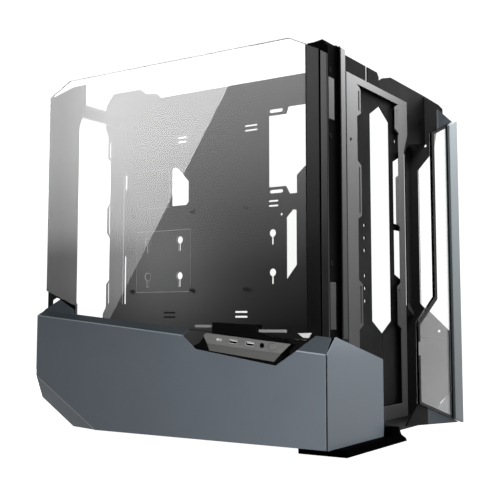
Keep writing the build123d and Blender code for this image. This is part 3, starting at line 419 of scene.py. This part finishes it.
# ends a tree: copies on points, turned, made real, and given the finish
def closeTree(tree, given, shape, turn):
    copies = addNode(tree, "GeometryNodeInstanceOnPoints", None, {
        "Points": given["Geometry"], "Instance": shape, "Rotation": turn})
    real = addNode(tree, "GeometryNodeRealizeInstances", None, {"Geometry": copies.outputs["Instances"]})
    finish = addNode(tree, "GeometryNodeSetMaterial", None, {
        "Geometry": real.outputs["Geometry"], "Material": given["Finish"]})
    addNode(tree, "NodeGroupOutput", None, {"Geometry": finish.outputs["Geometry"]})


def growPiece(name, tree, points, sizes, material, body, slotName, *replaced):
    seedMesh = bpy.data.meshes.new(name + "Points")
    seedMesh.from_pydata(points, [], [])
    obj = bpy.data.objects.new(name + "Points", seedMesh)
    scene.collection.objects.link(obj)
    grow = obj.modifiers.new("grow", "NODES")
    grow.node_group = tree
    for item in tree.interface.items_tree:
        if item.in_out == "INPUT" and item.name in sizes:
            grow[item.identifier] = sizes[item.name]
        if item.in_out == "INPUT" and item.name == "Finish":
            grow[item.identifier] = material
    bpy.context.view_layer.update()
    mesh = bpy.data.meshes.new_from_object(obj.evaluated_get(bpy.context.evaluated_depsgraph_get()))
    bpy.data.objects.remove(obj)
    return addPiece(name, mesh, body, slotName, material, *replaced)


# Button-head screws with a hexagon socket: head, chamfered crown, then the socket is cut out
screwLook = {"Head radius": 3.8 * mm, "Head height": 1.3 * mm, "Crown": 0.7 * mm, "Crown radius": 2.9 * mm,
             "Socket radius": 1.7 * mm, "Socket depth": 1.3 * mm}
screwTree, given = repeatTree("socketScrew", screwLook)
head = addNode(screwTree, "GeometryNodeMeshCylinder", None, {
    "Vertices": 28, "Radius": given["Head radius"], "Depth": given["Head height"]})
seat = addNode(screwTree, "ShaderNodeMath", {"operation": "MULTIPLY"}, {0: given["Head height"], 1: 0.5})
lift = addNode(screwTree, "ShaderNodeCombineXYZ", None, {"Z": seat.outputs[0]})
headUp = addNode(screwTree, "GeometryNodeTransform", None, {
    "Geometry": head.outputs["Mesh"], "Translation": lift.outputs[0]})
crown = addNode(screwTree, "GeometryNodeMeshCone", None, {
    "Vertices": 28, "Radius Top": given["Crown radius"], "Radius Bottom": given["Head radius"],
    "Depth": given["Crown"]})
crownLift = addNode(screwTree, "ShaderNodeCombineXYZ", None, {"Z": given["Head height"]})
crownUp = addNode(screwTree, "GeometryNodeTransform", None, {
    "Geometry": crown.outputs["Mesh"], "Translation": crownLift.outputs[0]})
solid = addNode(screwTree, "GeometryNodeMeshBoolean", {"operation": "UNION"})
screwTree.links.new(headUp.outputs[0], solid.inputs["Mesh 2"])
screwTree.links.new(crownUp.outputs[0], solid.inputs["Mesh 2"])
hexKey = addNode(screwTree, "GeometryNodeMeshCylinder", None, {
    "Vertices": 6, "Radius": given["Socket radius"], "Depth": given["Socket depth"]})
top = addNode(screwTree, "ShaderNodeMath", {"operation": "ADD"}, {0: given["Head height"], 1: given["Crown"]})
hexLift = addNode(screwTree, "ShaderNodeCombineXYZ", None, {"Z": top.outputs[0]})
hexUp = addNode(screwTree, "GeometryNodeTransform", None, {
    "Geometry": hexKey.outputs["Mesh"], "Translation": hexLift.outputs[0]})
cut = addNode(screwTree, "GeometryNodeMeshBoolean", {"operation": "DIFFERENCE"}, {
    "Mesh 1": solid.outputs["Mesh"], "Mesh 2": hexUp.outputs[0]})
closeTree(screwTree, given, cut.outputs["Mesh"], (0.0, math.pi / 2, 0.0))

postLow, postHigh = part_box("post_screws")
postY = (postLow.y + postHigh.y) / 2
postScrewMm = (138.4, 250.1, 420.3, 510.8)  # heights above the floor
postSpots = [(postLow.x, postY, height * mm) for height in postScrewMm]
growPiece("postScrews", screwTree, postSpots, screwLook, blackCoat, "chassis", "black_steel", "post_screws")
gussetLow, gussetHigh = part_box("bracket_screws")
inset = screwLook["Head radius"]
gussetSpots = [(gussetLow.x, y, gussetHigh.z - inset) for y in (gussetLow.y + inset, gussetHigh.y - inset)]
growPiece("gussetScrews", screwTree, gussetSpots, screwLook, blackCoat,
          "chassis", "black_steel", "bracket_screws")

# Hexagonal studs with a tapped hole, on the board pattern
studLook = {"Across": 3.2 * mm, "Height": 6.5 * mm, "Bore": 1.5 * mm}
studPlace = {"flat": 2.77 * mm, "boreFloor": 1.5 * mm, "columnsMm": (0.0, 124.46, 227.33),
             "rowsMm": (0.0, 154.94, 281.94)}
studTree, given = repeatTree("boardStud", studLook)
hexBody = addNode(studTree, "GeometryNodeMeshCylinder", None, {
    "Vertices": 6, "Radius": given["Across"], "Depth": given["Height"]})
bore = addNode(studTree, "GeometryNodeMeshCylinder", None, {
    "Vertices": 20, "Radius": given["Bore"], "Depth": given["Height"]})
boreLift = addNode(studTree, "ShaderNodeCombineXYZ", None, {"Z": studPlace["boreFloor"]})
boreUp = addNode(studTree, "GeometryNodeTransform", None, {
    "Geometry": bore.outputs["Mesh"], "Translation": boreLift.outputs[0]})
drilled = addNode(studTree, "GeometryNodeMeshBoolean", {"operation": "DIFFERENCE"}, {
    "Mesh 1": hexBody.outputs["Mesh"], "Mesh 2": boreUp.outputs[0]})
closeTree(studTree, given, drilled.outputs["Mesh"], (math.pi / 2, 0.0, 0.0))
studLow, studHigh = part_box("board_standoffs")
studY = (studLow.y + studHigh.y) / 2
across = [studLow.x + studLook["Across"] + step * mm for step in studPlace["columnsMm"]]
upright = [studHigh.z - studPlace["flat"] - step * mm for step in studPlace["rowsMm"]]
studSpots = [(x, studY, z) for x in across for z in upright]
growPiece("boardStuds", studTree, studSpots, studLook, blackenedSteel,
          "chassis", "black_steel", "board_standoffs")
print("repeated pieces grown")

# Camera at the photograph's place: low, in front of the left front corner, looking a little up
cameraLook = {"place": (0.77569, -1.212, 0.17736), "turn": 32.86, "tilt": -5.44, "lens": 63.63,
              "shift": -0.0308, "sensor": 36.0, "near": 0.01}
turn, tilt = math.radians(cameraLook["turn"]), math.radians(cameraLook["tilt"])
back = Vector((math.sin(turn) * math.cos(tilt), -math.cos(turn) * math.cos(tilt), math.sin(tilt)))
right = Vector((math.cos(turn), math.sin(turn), 0.0))
up = back.cross(right)
lensData = bpy.data.cameras.new("studioCamera")
lensData.sensor_width = cameraLook["sensor"]
lensData.lens = cameraLook["lens"]
lensData.shift_y = cameraLook["shift"]
lensData.clip_start = cameraLook["near"]
studioCamera = bpy.data.objects.new("studioCamera", lensData)
scene.collection.objects.link(studioCamera)
aimed = Matrix((right, up, back)).transposed().to_4x4()
studioCamera.matrix_world = Matrix.Translation(cameraLook["place"]) @ aimed
scene.camera = studioCamera

# Soft area lamps for the wing, the shroud's front, the radiator frame, the left side and the tray, each
# flagged to the pieces it lights, and one from behind for all
lampLook = {
    "keyLamp": {"place": (0.60, 0.12, 0.98), "aim": (0.26, 0.15, 0.35), "size": 0.30, "power": 11.0,
                "lights": ("wing_bar",)},
    "frontLamp": {"place": (0.55, 0.30, 1.30), "aim": (0.24, -0.12, 0.10), "size": 0.30, "power": 52.0,
                  "lights": ("shroud_front",)},
    "lowLamp": {"place": (0.36, -0.24, 0.30), "aim": (0.23, -0.10, 0.22), "size": 0.10, "power": 0.06,
                "lights": ("radiator_frame", "latch_plates")},
    "headLamp": {"place": (0.40, -0.10, 0.66), "aim": (0.23, -0.03, 0.45), "size": 0.12, "power": 1.1,
                 "lights": ("radiator_frame", "corner_strip", "latch_plates", "front_wall_right",
                            "right_side_frame")},
    "sideLamp": {"place": (0.72, -0.86, 0.14), "aim": (0.15, -0.20, 0.12), "size": 0.60, "power": 11.0,
                 "lights": ("shroud_side", "io_faceplate", "io_lower_strip", "io_housing", "usb_a_ports",
                            "usb_c_port", "audio_jack", "button_ring", "power_button", "latch_rods",
                            "latch_block", "glass_clip", "wing_frame")},
    "trayLamp": {"place": (-0.145, -0.205, 0.268), "aim": (-0.145, -0.06, 0.268), "size": 0.10, "power": 0.33,
                 "lights": ("board_tray", "tray_cover")},
    "backLamp": {"place": (-1.40, 1.10, 0.55), "aim": (0.0, 0.0, 0.30), "size": 1.20, "power": 20},
}
for name, lamp in lampLook.items():
    light = bpy.data.lights.new(name, "AREA")
    light.energy = lamp["power"]
    light.size = lamp["size"]
    lampObj = bpy.data.objects.new(name, light)
    scene.collection.objects.link(lampObj)
    aim = Vector(lamp["aim"]) - Vector(lamp["place"])
    if "lights" in lamp:  # flagged: it reaches only these pieces
        flagged = bpy.data.collections.new(name + "Reach")
        for nodeName in lamp["lights"]:
            flagged.objects.link(rounded.get(nodeName, nodes[nodeName]))
        lampObj.light_linking.receiver_collection = flagged
    lampObj.visible_camera = lampObj.visible_transmission = False
    aimed = aim.to_track_quat("-Z", "Y").to_matrix().to_4x4()
    lampObj.matrix_world = Matrix.Translation(lamp["place"]) @ aimed


# 1 where the room is looked at, mirrored or seen through glass
def whiteWhereSeen(tree):
    path = addNode(tree, "ShaderNodeLightPath")
    direct = addNode(tree, "ShaderNodeMath", {"operation": "MAXIMUM"}, {
        0: path.outputs["Is Camera Ray"], 1: path.outputs["Is Glossy Ray"]})
    return addNode(tree, "ShaderNodeMath", {"operation": "MAXIMUM"}, {
        0: direct.outputs[0], 1: path.outputs["Is Transmission Ray"]})


# 1 for the second image that a sheet of glass mirrors from its inner face, on the side of the left glass
def innerImage(tree):
    path = addNode(tree, "ShaderNodeLightPath")
    way = addNode(tree, "ShaderNodeSeparateXYZ", None, {
        "Vector": addNode(tree, "ShaderNodeTexCoord").outputs["Generated"]})
    leftSide = addNode(tree, "ShaderNodeMath", {"operation": "LESS_THAN"}, {0: way.outputs["Y"], 1: 0.0})
    mirrored = addNode(tree, "ShaderNodeMath", {"operation": "GREATER_THAN"}, {
        0: path.outputs["Glossy Depth"], 1: 0.5})
    inside = addNode(tree, "ShaderNodeMath", {"operation": "MULTIPLY"}, {
        0: path.outputs["Is Transmission Ray"], 1: mirrored.outputs[0]})
    return addNode(tree, "ShaderNodeMath", {"operation": "MULTIPLY"}, {
        0: inside.outputs[0], 1: leftSide.outputs[0]})


# White room: full white where it is looked at, reflected or seen through glass, a softer fill elsewhere
roomLook = {"fill": 0.10, "seen": 1.12, "floorGlow": 1.03, "floorShade": "#d8d8d8", "bounceShade": "#565656",
            "floorHalf": 6.0}
world = bpy.data.worlds.new("whiteRoom")
world.use_nodes = True
scene.world = world
tree = world.node_tree
seenOnce = addNode(tree, "ShaderNodeMath", {"operation": "SUBTRACT"}, {
    0: whiteWhereSeen(tree).outputs[0], 1: innerImage(tree).outputs[0]})
level = addNode(tree, "ShaderNodeMapRange", None, {
    "Value": seenOnce.outputs[0], "To Min": roomLook["fill"], "To Max": roomLook["seen"]})
tree.links.new(level.outputs["Result"], tree.nodes["Background"].inputs["Strength"])
tree.nodes["Background"].inputs["Color"].default_value = (1.0, 1.0, 1.0, 1.0)

floorMesh = bpy.data.meshes.new("studioFloor")
half = roomLook["floorHalf"]
floorCorners = [(-half, -half, 0), (half, -half, 0), (half, half, 0), (-half, half, 0)]
floorMesh.from_pydata(floorCorners, [], [(0, 1, 2, 3)])
studioFloor = bpy.data.objects.new("studioFloor", floorMesh)
scene.collection.objects.link(studioFloor)
floorCoat = bpy.data.materials.new("paleFloor")
floorCoat.use_nodes = True
tree = floorCoat.node_tree
tree.nodes.clear()
seenAny = whiteWhereSeen(tree)
glowLevel = addNode(tree, "ShaderNodeMath", {"operation": "MULTIPLY"}, {
    0: seenAny.outputs[0], 1: roomLook["floorGlow"]})
shade = addNode(tree, "ShaderNodeMix", {"data_type": "RGBA"}, {
    "Factor": seenAny.outputs[0], "A": linearColour(roomLook["bounceShade"]),
    "B": linearColour(roomLook["floorShade"])})
matte = addNode(tree, "ShaderNodeBsdfDiffuse", None, {"Color": shade.outputs["Result"]})
glow = addNode(tree, "ShaderNodeEmission", None, {"Color": (1, 1, 1, 1), "Strength": glowLevel.outputs[0]})
both = addNode(tree, "ShaderNodeAddShader", None, {0: matte.outputs[0], 1: glow.outputs[0]})
addNode(tree, "ShaderNodeOutputMaterial", None, {"Surface": both.outputs[0]})
wear(studioFloor, floorCoat)

# Bright studio panel that only the left glass and the bands mirror: its slanted edge crosses the glass
panelLook = {"left": -1.9, "right": -0.2, "depth": -1.5, "top": 1.3, "strength": 17.3,
             "farEnd": -1.55, "nearEnd": -1.30, "farLevel": 0.60, "low": 0.15, "high": 1.05,
             "edgeHigh": (-0.8092, 0.9263), "edgeLow": (-1.2269, 0.2928),
             "bright": ((0.0, 0.12), (0.15, 0.22), (0.28, 0.25), (0.40, 0.56), (0.70, 0.88), (1.0, 0.98)),
             "dim": ((0.0, 0.0), (0.20, 0.028), (0.40, 0.106), (0.65, 0.245), (1.0, 0.41))}
panelMesh = bpy.data.meshes.new("mirrorPanel")
corners = (("left", 0.0), ("right", 0.0), ("right", panelLook["top"]), ("left", panelLook["top"]))
panelMesh.from_pydata([(panelLook[side], panelLook["depth"], z) for side, z in corners], [], [(0, 3, 2, 1)])
mirrorPanel = bpy.data.objects.new("mirrorPanel", panelMesh)
scene.collection.objects.link(mirrorPanel)
panelGlow = bpy.data.materials.new("panelGlow")
panelGlow.use_nodes = True
tree = panelGlow.node_tree
tree.nodes.clear()
spot = addNode(tree, "ShaderNodeSeparateXYZ", None, {
    "Vector": addNode(tree, "ShaderNodeTexCoord").outputs["Object"]})
edgeAt = addNode(tree, "ShaderNodeMapRange", {"clamp": False}, {
    "Value": spot.outputs["Z"], "From Min": panelLook["edgeLow"][1], "From Max": panelLook["edgeHigh"][1],
    "To Min": panelLook["edgeLow"][0], "To Max": panelLook["edgeHigh"][0]})
leftOf = addNode(tree, "ShaderNodeMath", {"operation": "LESS_THAN"}, {
    0: spot.outputs["X"], 1: edgeAt.outputs["Result"]})
height = addNode(tree, "ShaderNodeMapRange", None, {
    "Value": spot.outputs["Z"], "From Min": panelLook["low"], "From Max": panelLook["high"]})
steps = {}
for zone in ("bright", "dim"):
    ramp = addNode(tree, "ShaderNodeValToRGB", None, {"Fac": height.outputs["Result"]})
    for at, level in panelLook[zone][1:-1]:
        ramp.color_ramp.elements.new(at).color = (level, level, level, 1.0)
    for end in (0, -1):
        ramp.color_ramp.elements[end].color = (panelLook[zone][end][1],) * 3 + (1.0,)
    steps[zone] = ramp.outputs["Color"]
panelLevel = addNode(tree, "ShaderNodeMix", {"data_type": "RGBA"}, {
    "Factor": leftOf.outputs[0], "A": steps["dim"], "B": steps["bright"]})
fade = addNode(tree, "ShaderNodeMapRange", None, {
    "Value": spot.outputs["X"], "From Min": panelLook["farEnd"], "From Max": panelLook["nearEnd"],
    "To Min": panelLook["strength"] * panelLook["farLevel"], "To Max": panelLook["strength"]})
panelLight = addNode(tree, "ShaderNodeEmission", None, {
    "Color": panelLevel.outputs["Result"], "Strength": fade.outputs["Result"]})
addNode(tree, "ShaderNodeOutputMaterial", None, {"Surface": panelLight.outputs[0]})
wear(mirrorPanel, panelGlow)
for flag in ("visible_camera", "visible_diffuse", "visible_transmission", "visible_shadow",
             "visible_volume_scatter"):
    setattr(mirrorPanel, flag, False)
mirrors = bpy.data.collections.new("panelMirrors")
for nodeName in ("left_glass", "post_band_outer", "post_band_inner"):
    mirrors.objects.link(rounded[nodeName])
mirrorPanel.light_linking.receiver_collection = mirrors
print("camera, lamps and room set")
